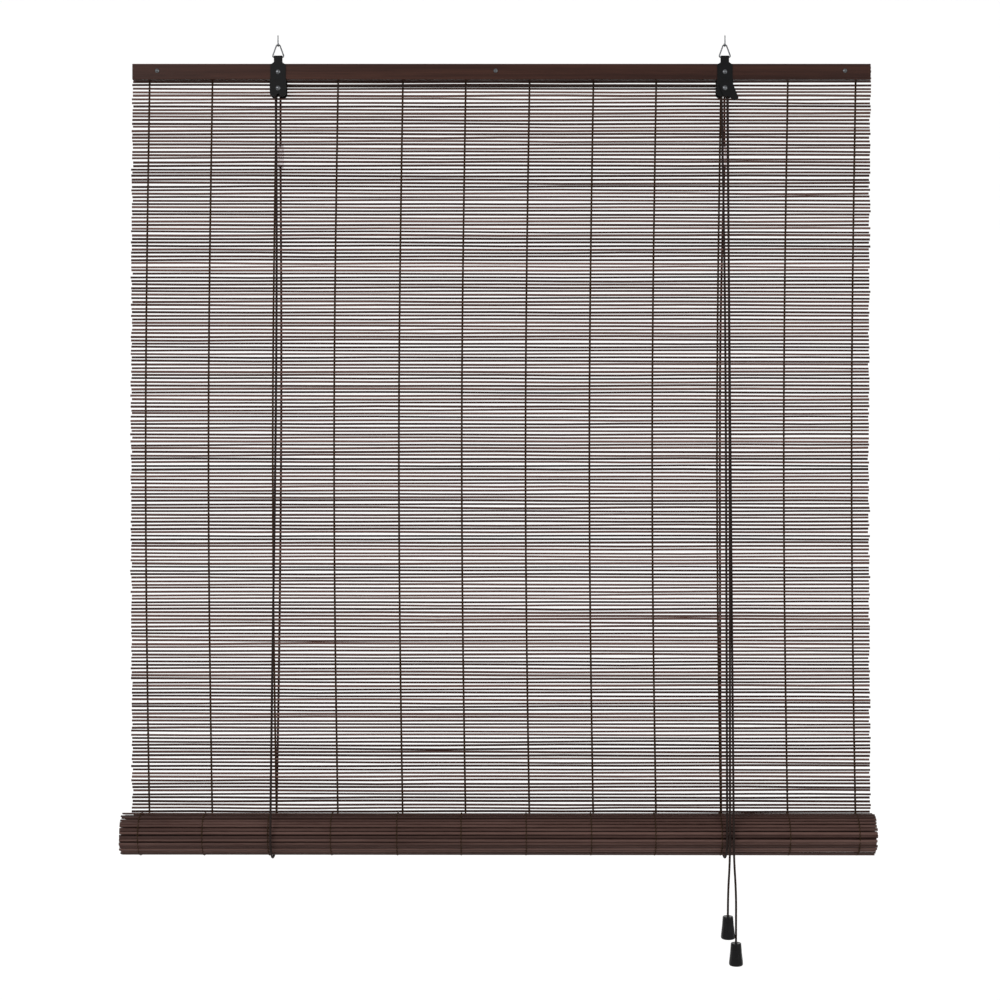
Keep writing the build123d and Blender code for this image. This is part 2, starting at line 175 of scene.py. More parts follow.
def grain(tree, scale, noise_scale=1.0, detail=4.0, roughness=0.6):
    """Noise on object coordinates, stretched by scale, in cycles per metre along x, y and z."""
    place = add(tree, "ShaderNodeTexCoord").outputs["Object"]
    stretched = add(tree, "ShaderNodeMapping", {"Vector": place, "Scale": scale})
    return add(tree, "ShaderNodeTexNoise", {
        "Vector": stretched.outputs[0], "Scale": noise_scale, "Detail": detail, "Roughness": roughness,
    })


# %% [markdown]
# ## Stained bamboo
# The slats are split bamboo, planed thin and dipped in a walnut stain. The fibres run along the slat,
# so the noise is stretched far along X: streaks 20 mm long and a third of a millimetre wide. Each slat
# took the stain a little differently, and the attribute "tone" carries that difference.

# %% Material for the slats
def stained_bamboo():
    material, tree = start_material("stained_bamboo")
    streaks = grain(tree, (25, 1500, 1500), 2.0, 5.0)
    patches = grain(tree, (4, 60, 60), 1.0, 2.0)
    tone = add(tree, "ShaderNodeAttribute", attribute_name="tone").outputs["Fac"]
    mixed = add(tree, "ShaderNodeMath", {0: streaks.outputs["Fac"], 1: 0.45}, operation="MULTIPLY")
    mixed = add(tree, "ShaderNodeMath", {0: patches.outputs["Fac"], 1: 0.30, 2: mixed.outputs[0]},
                operation="MULTIPLY_ADD")
    mixed = add(tree, "ShaderNodeMath", {0: tone, 1: 0.38, 2: mixed.outputs[0]}, operation="MULTIPLY_ADD")
    base = ramp(tree, mixed.outputs[0], (0.25, "#241612"), (0.52, "#452D27"), (0.85, "#80625A"))
    shine = add(tree, "ShaderNodeMapRange", {"Value": streaks.outputs["Fac"], "To Min": 0.38, "To Max": 0.62})
    finish_material(tree, Base_Color=base, Roughness=shine.outputs[0], Specular_IOR_Level=0.25,
                    Normal=bump(tree, streaks.outputs["Fac"], 0.5, 0.12 * mm))
    return material


# %% [markdown]
# ## Walnut-stained rail wood
# The rail is a planed strip of softwood with a dark walnut stain and a thin lacquer. Its year rings
# show as long bands about 6 mm wide, broken by fine pores that run the same way.

# %% Material for the rail and the battens
def stained_rail_wood():
    material, tree = start_material("stained_rail_wood")
    bands = grain(tree, (2.2, 160, 160), 1.0, 3.0, 0.55)
    pores = grain(tree, (30, 1800, 1800), 1.0, 3.0)
    mixed = add(tree, "ShaderNodeMath", {0: pores.outputs["Fac"], 1: 0.35}, operation="MULTIPLY")
    mixed = add(tree, "ShaderNodeMath", {0: bands.outputs["Fac"], 1: 0.65, 2: mixed.outputs[0]},
                operation="MULTIPLY_ADD")
    base = ramp(tree, mixed.outputs[0], (0.32, "#27140F"), (0.5, "#3A211A"), (0.68, "#4C2E24"))
    finish_material(tree, Base_Color=base, Roughness=0.42, Specular_IOR_Level=0.2,
                    Normal=bump(tree, pores.outputs["Fac"], 0.35, 0.08 * mm))
    return material


# %% [markdown]
# ## Thread, cord, paint, zinc and plastic
# The warp is twisted cotton and the cords are braided polyester: both are rough, with a pattern that
# follows the strand, so their colours read the UV map that the tube function below gives. The cord's
# strands are painted darker where they sink between each other: painted shade in the braid's hollows.
# The brackets are sheet steel under black powder paint, whose skin has a fine orange peel. Zinc on the
# wire and the rivets is a bright metal with soft scratches. The tassels are moulded ABS, and the pulleys
# nylon.

# %% Materials for threads and cords
def twisted_cotton():
    material, tree = start_material("twisted_cotton")
    fibres = grain(tree, (900, 900, 900), 1.0, 3.0)
    base = ramp(tree, fibres.outputs["Fac"], (0.3, "#261A12"), (0.7, "#4E3B2A"))
    finish_material(tree, Base_Color=base, Roughness=0.88, Specular_IOR_Level=0.1,
                    Normal=bump(tree, fibres.outputs["Fac"], 0.5, 0.2 * mm))
    return material


def braided_polyester():
    """Strands of both hands, four round the cord, that repeat with each step along it."""
    material, tree = start_material("braided_polyester")
    around_along = add(tree, "ShaderNodeUVMap", uv_map="strand").outputs[0]
    split = add(tree, "ShaderNodeSeparateXYZ", {0: around_along})
    waves = []
    for hand in (1, -1):
        slant = add(tree, "ShaderNodeMath", {0: split.outputs[1], 1: hand * 1.0}, operation="MULTIPLY")
        slant = add(tree, "ShaderNodeMath", {0: split.outputs[0], 1: 4.0, 2: slant.outputs[0]},
                    operation="MULTIPLY_ADD")
        turn = add(tree, "ShaderNodeMath", {0: slant.outputs[0], 1: 2 * math.pi}, operation="MULTIPLY")
        waves.append(add(tree, "ShaderNodeMath", {0: turn.outputs[0]}, operation="SINE").outputs[0])
    weave = add(tree, "ShaderNodeMath", {0: waves[0], 1: waves[1]}, operation="MAXIMUM")
    height = add(tree, "ShaderNodeMapRange", {"Value": weave.outputs[0], "From Min": -1.0})
    # Painted shade: the strands are one colour, and this ramp paints them darkest where the braid is low,
    # between strands.
    base = ramp(tree, height.outputs[0], (0.1, "#0E0908"), (0.6, "#241A17"), (1.0, "#382A25"))
    finish_material(tree, Base_Color=base, Roughness=0.7, Specular_IOR_Level=0.2,
                    Normal=bump(tree, height.outputs[0], 0.6, 0.25 * mm))
    return material


# %% Materials for metal and plastic
def clear_polycarbonate():
    """Cloudy enough in its moulded skin to be seen against a pale wall."""
    material, tree = start_material("clear_polycarbonate")
    skin = grain(tree, (300, 300, 300), 1.0, 3.0)
    shine = add(tree, "ShaderNodeMapRange", {"Value": skin.outputs["Fac"], "To Min": 0.15, "To Max": 0.35})
    finish_material(tree, Base_Color=ramp(tree, skin.outputs["Fac"], (0.3, "#E4DEE0"), (0.75, "#F2EEF0")),
                    Roughness=shine.outputs[0], Transmission_Weight=0.9, IOR=1.2)
    return material


def black_powder_paint():
    material, tree = start_material("black_powder_paint")
    peel = grain(tree, (700, 700, 700), 1.0, 2.0)
    shine = add(tree, "ShaderNodeMapRange", {"Value": peel.outputs["Fac"], "To Min": 0.32, "To Max": 0.5})
    finish_material(tree, Base_Color=ramp(tree, peel.outputs["Fac"], (0.3, "#060607"), (0.8, "#101011")),
                    Roughness=shine.outputs[0], Specular_IOR_Level=0.22,
                    Normal=bump(tree, peel.outputs["Fac"], 0.3, 0.1 * mm))
    return material


def zinc_plate():
    material, tree = start_material("zinc_plate")
    cloud = grain(tree, (400, 400, 400), 1.0, 3.0)
    shine = add(tree, "ShaderNodeMapRange", {"Value": cloud.outputs["Fac"], "To Min": 0.22, "To Max": 0.45})
    finish_material(tree, Base_Color=ramp(tree, cloud.outputs["Fac"], (0.3, "#54565A"), (0.75, "#8E9093")),
                    Metallic=1.0, Roughness=shine.outputs[0],
                    Normal=bump(tree, cloud.outputs["Fac"], 0.15, 0.1 * mm))
    return material


def moulded_plastic(name, dark, light, low, high):
    material, tree = start_material(name)
    skin = grain(tree, (250, 250, 250), 1.0, 4.0)
    shine = add(tree, "ShaderNodeMapRange", {"Value": skin.outputs["Fac"], "To Min": low, "To Max": high})
    finish_material(tree, Base_Color=ramp(tree, skin.outputs["Fac"], (0.3, dark), (0.75, light)),
                    Roughness=shine.outputs[0], Specular_IOR_Level=0.3,
                    Normal=bump(tree, skin.outputs["Fac"], 0.1, 0.1 * mm))
    return material


finishes = {
    "slat_bamboo": stained_bamboo(),
    "rail_wood": stained_rail_wood(),
    "warp_thread": twisted_cotton(),
    "lift_cord": braided_polyester(),
    "bracket_steel": black_powder_paint(),
    "zinc_steel": zinc_plate(),
    "tassel_plastic": moulded_plastic("tassel_abs", "#070708", "#121214", 0.22, 0.36),
    "pulley_plastic": moulded_plastic("pulley_nylon", "#0F0F10", "#222224", 0.45, 0.6),
    "clear_plastic": clear_polycarbonate(),
}
print("materials:", [m.name for m in finishes.values()])

# %% [markdown]
# ## CAD pieces that keep their shape
# The steel, the rail and the pulleys keep the form that the CAD model gives them. Their meshes are
# left alone and only their material changes. The record names the finish of each node.

# %% Give the CAD nodes their finish
for part in frame["record"]["subparts"]:
    node = frame["nodes"][part["node"]]
    node.data.materials.clear()
    node.data.materials.append(finishes[part["material_slot"]])

# %% [markdown]
# ## Growing pieces with Geometry Nodes
# Two hundred slats that differ a little are a rule and not a model, so a node tree makes them. The
# helper below starts a tree with named inputs, and another runs it on an empty object and keeps the
# result as a plain mesh, which can then ride on a body like any other.

# %% Helpers for node trees
def start_tree(name, **inputs):
    """A geometry tree with named inputs, given as name=socket type."""
    tree = bpy.data.node_groups.new(name, "GeometryNodeTree")
    for label, kind in inputs.items():
        tree.interface.new_socket(label, in_out="INPUT", socket_type=f"NodeSocket{kind}")
    tree.interface.new_socket("Geometry", in_out="OUTPUT", socket_type="NodeSocketGeometry")
    return tree, tree.nodes.new("NodeGroupInput").outputs


def finish_tree(tree, geometry, material):
    real = add(tree, "GeometryNodeRealizeInstances", {"Geometry": geometry})
    smooth = add(tree, "GeometryNodeSetShadeSmooth", {"Geometry": real.outputs[0]})
    painted = add(tree, "GeometryNodeSetMaterial", {"Geometry": smooth.outputs[0], "Material": material})
    add(tree, "NodeGroupOutput", {0: painted.outputs[0]})


def link_object(name, mesh):
    piece = bpy.data.objects.new(name, mesh)
    bpy.context.scene.collection.objects.link(piece)
    return piece


def grow(name, tree, **values):
    """Runs the tree with these inputs, and returns the result as an object with a plain mesh."""
    piece = link_object(name, bpy.data.meshes.new(name))
    modifier = piece.modifiers.new("rule", "NODES")
    modifier.node_group = tree
    for item in tree.interface.items_tree:
        if item.item_type == "SOCKET" and item.in_out == "INPUT":
            modifier[item.identifier] = values[item.name]
    evaluated = piece.evaluated_get(bpy.context.evaluated_depsgraph_get())
    mesh = bpy.data.meshes.new_from_object(evaluated)
    piece.modifiers.clear()
    piece.data = mesh
    mesh.name = name
    print(name, len(mesh.polygons), "faces")
    return piece


def maths(tree, operation, *values):
    return add(tree, "ShaderNodeMath", dict(enumerate(values)), operation=operation).outputs[0]


def vector(tree, x=0.0, y=0.0, z=0.0):
    return add(tree, "ShaderNodeCombineXYZ", {0: x, 1: y, 2: z}).outputs[0]


def random_value(tree, low, high, seed):
    made = add(tree, "FunctionNodeRandomValue", {"Min": low, "Max": high, "Seed": seed}, data_type="FLOAT")
    return [socket for socket in made.outputs if socket.enabled][0]


# %% [markdown]
# ## How the slats wander
# Slats in a cheap woven blind are never quite parallel: they crowd together here and gape there. A
# smooth noise on the resting place moves each one up or down, by 1.2 mm at most. Slats and
# threads share this one group, so a thread moves with the slats that it ties.

# %% The group that both slats and threads use
def wander_group():
    """Offset of a point whose slat rests at this level: up by Amount, and a little in or out."""
    tree = bpy.data.node_groups.new("wander", "GeometryNodeTree")
    for label in ("Level", "Amount"):
        tree.interface.new_socket(label, in_out="INPUT", socket_type="NodeSocketFloat")
    tree.interface.new_socket("Offset", in_out="OUTPUT", socket_type="NodeSocketVector")
    level, amount = tree.nodes.new("NodeGroupInput").outputs[:2]
    place = add(tree, "GeometryNodeInputPosition").outputs[0]
    x = add(tree, "ShaderNodeSeparateXYZ", {0: place}).outputs[0]
    parts = []
    for along, across, seed in ((4.5, 0.85 / slat_pitch, 1.7), (3.4, 0.35 / slat_pitch, 8.3)):
        spot = vector(tree, maths(tree, "MULTIPLY", x, along), seed, maths(tree, "MULTIPLY", level, across))
        cloud = add(tree, "ShaderNodeTexNoise", {"Vector": spot, "Scale": 1.0, "Detail": 1.0})
        parts.append(maths(tree, "SUBTRACT", cloud.outputs["Fac"], 0.5))
    up = maths(tree, "MULTIPLY", parts[0], amount)
    out = maths(tree, "MULTIPLY", parts[1], maths(tree, "MULTIPLY", amount, 0.3))
    add(tree, "NodeGroupOutput", {0: vector(tree, 0.0, out, up)})
    return tree


wander = wander_group()


def move_by_wander(tree, geometry, level, amount):
    group = add(tree, "GeometryNodeGroup", node_tree=wander)
    tree.links.new(level, group.inputs["Level"])
    tree.links.new(amount, group.inputs["Amount"])
    moved = add(tree, "GeometryNodeSetPosition", {"Geometry": geometry, "Offset": group.outputs[0]})
    return moved.outputs[0]


# %% [markdown]
# ## How the curtain sways
# The curtain bows a little to the left between the rail and the roll. The sway is half a wave of a
# sine from the rail to the roll, and the threads, which slide along the slats, sway more.

# %% The sway at a level
def sway(tree, level, amount):
    down = maths(tree, "DIVIDE", maths(tree, "SUBTRACT", rail_low.z, level), rail_low.z - roll_z)
    limited = add(tree, "ShaderNodeClamp", {0: down}).outputs[0]
    bow = maths(tree, "SINE", maths(tree, "MULTIPLY", limited, math.pi))
    return maths(tree, "MULTIPLY", bow, maths(tree, "MULTIPLY", amount, -1.0))


# %% [markdown]
# ## One slat
# A slat is a strip along X with a six-sided section. Twelve lengths along it are enough for its slow
# bend, and shading makes the six sides look round. No two slats are planed alike, so each copy gets
# its own shift and its own length, depth and height, as factors on the common size. The height
# factors are all above one for two reasons: a six-sided section is only 0.87 as high as the circle it
# is drawn in, and dark strips before a bright backdrop look thinner in a render than they are.

# %% The slat that the trees repeat
slat_sides = 6
slat_points = 13
slat_shift = 0.9 * mm
length_factors = (0.998, 1.001)
depth_factors = (0.85, 1.05)
height_factors = (1.06, 1.34)


def slat_strip(tree, width, depth, height):
    line = add(tree, "GeometryNodeCurvePrimitiveLine", {
        "Start": vector(tree, maths(tree, "MULTIPLY", width, -0.5)),
        "End": vector(tree, maths(tree, "MULTIPLY", width, 0.5)),
    })
    steps = add(tree, "GeometryNodeResampleCurve", {"Curve": line.outputs[0], "Count": slat_points})
    ring = add(tree, "GeometryNodeCurvePrimitiveCircle", {"Resolution": slat_sides, "Radius": 0.5})
    strip = add(tree, "GeometryNodeCurveToMesh", {
        "Curve": steps.outputs[0], "Profile Curve": ring.outputs[0], "Fill Caps": True,
    })
    shaped = add(tree, "GeometryNodeTransform", {
        "Geometry": strip.outputs[0], "Scale": vector(tree, 1.0, depth, height),
    })
    return shaped.outputs[0]


def place_slats(tree, points, strip, turn):
    """Puts a slat on each point, each with its own length, thickness, shift and shade."""
    toned = add(tree, "GeometryNodeStoreNamedAttribute", {
        "Geometry": points, "Name": "tone", "Value": random_value(tree, 0.0, 1.0, 11),
    }, data_type="FLOAT", domain="POINT")
    shifted = add(tree, "GeometryNodeSetPosition", {
        "Geometry": toned.outputs[0],
        "Offset": vector(tree, random_value(tree, -slat_shift, slat_shift, 3)),
    })
    size = vector(tree, random_value(tree, *length_factors, 5), random_value(tree, *depth_factors, 6),
                  random_value(tree, *height_factors, 7))
    copies = add(tree, "GeometryNodeInstanceOnPoints", {
        "Points": shifted.outputs[0], "Instance": strip, "Rotation": turn, "Scale": size,
    })
    return add(tree, "GeometryNodeRealizeInstances", {"Geometry": copies.outputs[0]}).outputs[0]


# %% [markdown]
# ## The hanging curtain
# A line of points down the back of the rail carries one slat each. The slats clamped inside the rail
# come from the same tree with its own count.

# %% Tree for the flat curtain
def flat_curtain():
    tree, given = start_tree("flat_curtain", Slats="Int", Pitch="Float", Top="Float", Panel_Y="Float",
                             Width="Float", Depth="Float", Height="Float", Wander="Float", Sway="Float",
                             Material="Material")
    line = add(tree, "GeometryNodeMeshLine", {
        "Count": given["Slats"], "Start Location": vector(tree, 0.0, given["Panel_Y"], given["Top"]),
        "Offset": vector(tree, 0.0, 0.0, maths(tree, "MULTIPLY", given["Pitch"], -1.0)),
    })
    strip = slat_strip(tree, given["Width"], given["Depth"], given["Height"])
    tilt = vector(tree, random_value(tree, -0.25, 0.25, 21), random_value(tree, -0.0006, 0.0006, 22))
    place = add(tree, "GeometryNodeInputPosition").outputs[0]
    height = add(tree, "ShaderNodeSeparateXYZ", {0: place}).outputs[2]
    levelled = add(tree, "GeometryNodeStoreNamedAttribute", {
        "Geometry": line.outputs[0], "Name": "level", "Value": height,
    }, data_type="FLOAT", domain="POINT")
    slats = place_slats(tree, levelled.outputs[0], strip, tilt)
    level = add(tree, "GeometryNodeInputNamedAttribute", {"Name": "level"}, data_type="FLOAT").outputs[0]
    wandered = move_by_wander(tree, slats, level, given["Wander"])
    swayed = add(tree, "GeometryNodeSetPosition", {
        "Geometry": wandered, "Offset": vector(tree, sway(tree, level, given["Sway"])),
    })
    finish_tree(tree, swayed.outputs[0], given["Material"])
    return tree


# %% Grow the curtain
curtain_tree = flat_curtain()
hanging_count = round((panel_high.z - panel_low.z - slat_height) / slat_pitch) + 1
clamped_count = round((clamp_high.z - clamp_low.z - slat_height) / slat_pitch) + 1
slat_values = {
    "Pitch": slat_pitch, "Panel_Y": panel_y, "Width": blind_width, "Depth": slat_depth,
    "Height": slat_height, "Material": finishes["slat_bamboo"],
}
wander_amount = 3.6 * mm
curtain_sway = 2 * mm
hanging_slats = grow("curtain_slats", curtain_tree, Slats=hanging_count, Top=panel_high.z - slat_height / 2,
                     Wander=wander_amount, Sway=curtain_sway, **slat_values)
clamped_slats = grow("slats_in_rail", curtain_tree, Slats=clamped_count, Top=clamp_high.z - slat_height / 2,
                     Wander=0.0, Sway=0.0, **slat_values)


# %% [markdown]
# ## What moves with what
# The curtain shortens towards the rail while the roll rises. Here each piece rides on its body, and a
# hanging piece gets a mesh of its own.


def settle(piece, body, slot, *nodes):
    """The piece rides on the body and stands for the CAD nodes, which it hides. The slot is not used."""
    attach(piece, body)
    if nodes:
        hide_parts(*nodes)
    return piece


def shorten(piece):
    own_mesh(piece)


settle(hanging_slats, "headrail", "slat_bamboo", "hanging_slats")
settle(clamped_slats, "headrail", "slat_bamboo", "clamped_slats")
shorten(hanging_slats)


# %% [markdown]
# ## The warp threads
# Two threads tie each column of slats. Between two slats they cross, so a slat has one thread before
# it and the other behind. A cosine of the height gives that path, half a wave for each slat, and the
# two strands are half a wave apart.

# %% Tree for one column of threads
thread_sides = 5
steps_per_slat = 5


def thread_strand(tree, line, across, sign, given):
    place = add(tree, "GeometryNodeInputPosition").outputs[0]
    height = add(tree, "ShaderNodeSeparateXYZ", {0: place}).outputs[2]
    turns = maths(tree, "DIVIDE", maths(tree, "SUBTRACT", height, given["First_Slat"]), given["Pitch"])
    wave = maths(tree, "COSINE", maths(tree, "MULTIPLY", turns, math.pi))
    side = maths(tree, "SINE", maths(tree, "MULTIPLY", turns, math.pi))
    shift = maths(tree, "MULTIPLY_ADD", side, sign * across, sway(tree, height, given["Sway"]))
    offset = vector(tree, shift, maths(tree, "MULTIPLY", maths(tree, "MULTIPLY", wave, given["Reach"]), sign))
    strand = add(tree, "GeometryNodeSetPosition", {"Geometry": line, "Offset": offset})
    return move_by_wander(tree, strand.outputs[0], height, given["Wander"])


def thread_tube(tree, line, radius):
    ring = add(tree, "GeometryNodeCurvePrimitiveCircle", {"Resolution": thread_sides, "Radius": radius})
    tube = add(tree, "GeometryNodeCurveToMesh", {
        "Curve": line, "Profile Curve": ring.outputs[0], "Fill Caps": True,
    })
    return tube.outputs[0]


def woven_thread():
    tree, given = start_tree("woven_thread", X="Float", Shift="Float", Panel_Y="Float", Top="Float",
                             Bottom="Float", First_Slat="Float", Pitch="Float", Reach="Float",
                             Radius="Float", Wander="Float", Sway="Float", Steps="Int", Material="Material")
    x = maths(tree, "ADD", given["X"], given["Shift"])
    line = add(tree, "GeometryNodeCurvePrimitiveLine", {
        "Start": vector(tree, x, given["Panel_Y"], given["Top"]),
        "End": vector(tree, x, given["Panel_Y"], given["Bottom"]),
    })
    steps = add(tree, "GeometryNodeResampleCurve", {"Curve": line.outputs[0], "Count": given["Steps"]})
    both = add(tree, "GeometryNodeJoinGeometry")
    for sign in (1, -1):
        moved = thread_strand(tree, steps.outputs[0], thread_spread, sign, given)
        tree.links.new(thread_tube(tree, moved, given["Radius"]), both.inputs[0])
    finish_tree(tree, both.outputs[0], given["Material"])
    return tree


# %% Grow the twelve columns
thread_tree = woven_thread()
thread_nodes = sorted(n for n in frame["nodes"] if n.startswith("warp_thread_"))
thread_shift = 3 * mm
thread_sway = 5.5 * mm
thread_clearance = 0.35 * mm
for name in thread_nodes:
    low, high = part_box(name)
    thread = grow(name + "_twisted", thread_tree, X=(low.x + high.x) / 2, Shift=thread_shift,
                  Panel_Y=panel_y, Top=high.z, Bottom=low.z, First_Slat=panel_high.z - slat_height / 2,
                  Pitch=slat_pitch, Reach=slat_depth / 2 + thread_clearance, Radius=thread_radius,
                  Wander=wander_amount, Sway=thread_sway,
                  Steps=round((high.z - low.z) / slat_pitch * steps_per_slat),
                  Material=finishes["warp_thread"])
    settle(thread, "headrail", "warp_thread", name)
    shorten(thread)


# %% [markdown]
# ## The roll
# The same slats go on round a spiral. Slat number i lies s = i times the pitch along it, and the
# spiral loses one layer of radius in each turn. Solving the length of the spiral for the angle gives
# the angle from s, so every slat's place and turn come from its number, but for a small random error.
# In the roll the slats are made a little longer, so that the ends reach as far as the real ones, and
# taller, so that little light shows between them.

# %% The spiral in nodes
def spiral(tree, distance, given):
    """Angle, and place as a vector, of a point this far along the spiral from its outer end."""
    radius, layer = given["Radius"], given["Layer"]
    square = maths(tree, "MULTIPLY", radius, radius)
    inside = maths(tree, "SUBTRACT", square, maths(tree, "MULTIPLY", distance,
                   maths(tree, "DIVIDE", layer, math.pi)))
    lost = maths(tree, "SUBTRACT", radius, maths(tree, "SQRT", inside))
    angle = maths(tree, "MULTIPLY", lost, maths(tree, "DIVIDE", 2 * math.pi, layer))
    return angle, maths(tree, "SUBTRACT", radius, lost)


def on_spiral(tree, x, angle, radius, given):
    y = maths(tree, "MULTIPLY_ADD", maths(tree, "COSINE", angle), radius, given["Axis_Y"])
    z = maths(tree, "MULTIPLY_ADD", maths(tree, "SINE", angle), maths(tree, "MULTIPLY", radius, -1.0),
              given["Axis_Z"])
    return vector(tree, x, y, z)


# %% Tree for the roll's slats
pitch_error = 0.08
loose_layer = 0.25 * mm
slant = 0.0018


def rolled_slats():
    tree, given = start_tree("rolled_slats", Slats="Int", Pitch="Float", Radius="Float", Layer="Float",
                             Axis_X="Float", Axis_Y="Float", Axis_Z="Float", Width="Float", Depth="Float",
                             Height="Float", Material="Material")
    line = add(tree, "GeometryNodeMeshLine", {"Count": given["Slats"], "Offset": (0.0, 0.0, 0.0)})
    number = add(tree, "GeometryNodeInputIndex").outputs[0]
    uneven = random_value(tree, -pitch_error, pitch_error, 31)
    distance = maths(tree, "MULTIPLY", maths(tree, "ADD", number, maths(tree, "ADD", uneven, 0.5)),
                     given["Pitch"])
    angle, radius = spiral(tree, distance, given)
    loose = maths(tree, "ADD", radius, random_value(tree, -loose_layer, loose_layer, 32))
    wound = add(tree, "GeometryNodeSetPosition", {
        "Geometry": line.outputs[0], "Position": on_spiral(tree, 0.0, angle, loose, given),
    })
    turned = add(tree, "GeometryNodeStoreNamedAttribute", {
        "Geometry": wound.outputs[0], "Name": "turn", "Value": angle,
    }, data_type="FLOAT", domain="POINT")
    back = add(tree, "GeometryNodeInputNamedAttribute", {"Name": "turn"}, data_type="FLOAT")
    turn = vector(tree, maths(tree, "MULTIPLY", back.outputs[0], -1.0),
                  random_value(tree, -slant, slant, 33), random_value(tree, -slant, slant, 34))
    strip = slat_strip(tree, given["Width"], given["Depth"], given["Height"])
    shifted = add(tree, "GeometryNodeTransform", {
        "Geometry": strip, "Translation": vector(tree, given["Axis_X"]),
    })
    finish_tree(tree, place_slats(tree, turned.outputs[0], shifted.outputs[0], turn), given["Material"])
    return tree


# %% Grow the roll's slats
half_turns = 10
roll_length = math.pi * half_turns * (roll_radius - roll_layer / 4 * (half_turns - 1))
rolled_count = int(roll_length / slat_pitch)
roll_values = {
    "Pitch": slat_pitch, "Radius": roll_radius, "Layer": roll_layer, "Axis_Y": roll_y, "Axis_Z": roll_z,
}
roll_length_factor = 1.005
roll_height_factor = 1.25
rolled = grow("roll_slats", rolled_slats(), Slats=rolled_count, Axis_X=roll_x,
              Width=blind_width * roll_length_factor, Depth=slat_depth,
              Height=slat_height * roll_height_factor, Material=finishes["slat_bamboo"], **roll_values)
settle(rolled, "roll", "slat_bamboo", "rolled_curtain")
print("rolled up:", rolled_count, "slats,", round(roll_length, 3), "m")


# %% [markdown]
# ## The threads on the roll
# They follow the same spiral, weaving inside and outside each slat. Only the two outer turns can be
# seen, so the threads stop there.

# %% Tree for the threads round the roll
def rolled_thread():
    tree, given = start_tree("rolled_thread", X="Float", Pitch="Float", Radius="Float", Layer="Float",
                             Axis_Y="Float", Axis_Z="Float", Reach="Float", Thread_Radius="Float",
                             Length="Float", Steps="Int", Material="Material")
    line = add(tree, "GeometryNodeCurvePrimitiveLine", {"End": vector(tree, given["Length"])})
    steps = add(tree, "GeometryNodeResampleCurve", {"Curve": line.outputs[0], "Count": given["Steps"]})
    place = add(tree, "GeometryNodeInputPosition").outputs[0]
    distance = add(tree, "ShaderNodeSeparateXYZ", {0: place}).outputs[0]
    angle, radius = spiral(tree, distance, given)
    slats_passed = maths(tree, "SUBTRACT", maths(tree, "DIVIDE", distance, given["Pitch"]), 0.5)
    halves = maths(tree, "MULTIPLY", slats_passed, math.pi)
    both = add(tree, "GeometryNodeJoinGeometry")
    for sign in (1, -1):
        wave = maths(tree, "COSINE", halves)
        weave = maths(tree, "MULTIPLY", maths(tree, "MULTIPLY", wave, given["Reach"]), sign)
        side = maths(tree, "MULTIPLY_ADD", maths(tree, "SINE", halves), sign * thread_spread, given["X"])
        strand = add(tree, "GeometryNodeSetPosition", {
            "Geometry": steps.outputs[0],
            "Position": on_spiral(tree, side, angle, maths(tree, "ADD", radius, weave), given),
        })
        tree.links.new(thread_tube(tree, strand.outputs[0], given["Thread_Radius"]), both.inputs[0])
    finish_tree(tree, both.outputs[0], given["Material"])
    return tree


# %% Grow the threads on the roll
roll_thread_tree = rolled_thread()
outer_turns_length = 0.36
roll_thread_shift = 2 * mm
roll_thread_clearance = 0.2 * mm
tight_thread_radius = 0.65 * mm
for name in thread_nodes:
    low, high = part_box(name)
    thread = grow(name + "_on_roll", roll_thread_tree, X=(low.x + high.x) / 2 + roll_x + roll_thread_shift,
                  Reach=slat_depth / 2 + roll_thread_clearance, Thread_Radius=tight_thread_radius,
                  Length=outer_turns_length, Steps=round(outer_turns_length / slat_pitch * steps_per_slat),
                  Material=finishes["warp_thread"], **roll_values)
    settle(thread, "roll", "warp_thread")


# %% [markdown]
# ## Braided cord
# A cord is a tube along a line. Its section turns with the line without twisting, and its radius
# swells and sinks a little where the braid's strands cross, so the braid shows in the outline too. The
# UV map counts turns around and strands along, which the braid's colour and bump read.

# %% Build tubes
strand_step = 0.9 * mm
tube_sides = 10
braid_swell = 0.035
end_size = 0.93
arc_steps = 48


def even_points(points, step):
    """Points an equal distance apart along a line of points."""
    lengths = [0.0]
    for a, b in zip(points, points[1:]):
        lengths.append(lengths[-1] + (b - a).length)
    count = max(2, round(lengths[-1] / step) + 1)
    even, k = [], 0
    for i in range(count):
        goal = lengths[-1] * i / (count - 1)
        while k < len(points) - 2 and lengths[k + 1] < goal:
            k += 1
        share = (goal - lengths[k]) / max(lengths[k + 1] - lengths[k], 1e-9)
        even.append(points[k].lerp(points[k + 1], min(share, 1.0)))
    return even, lengths[-1]


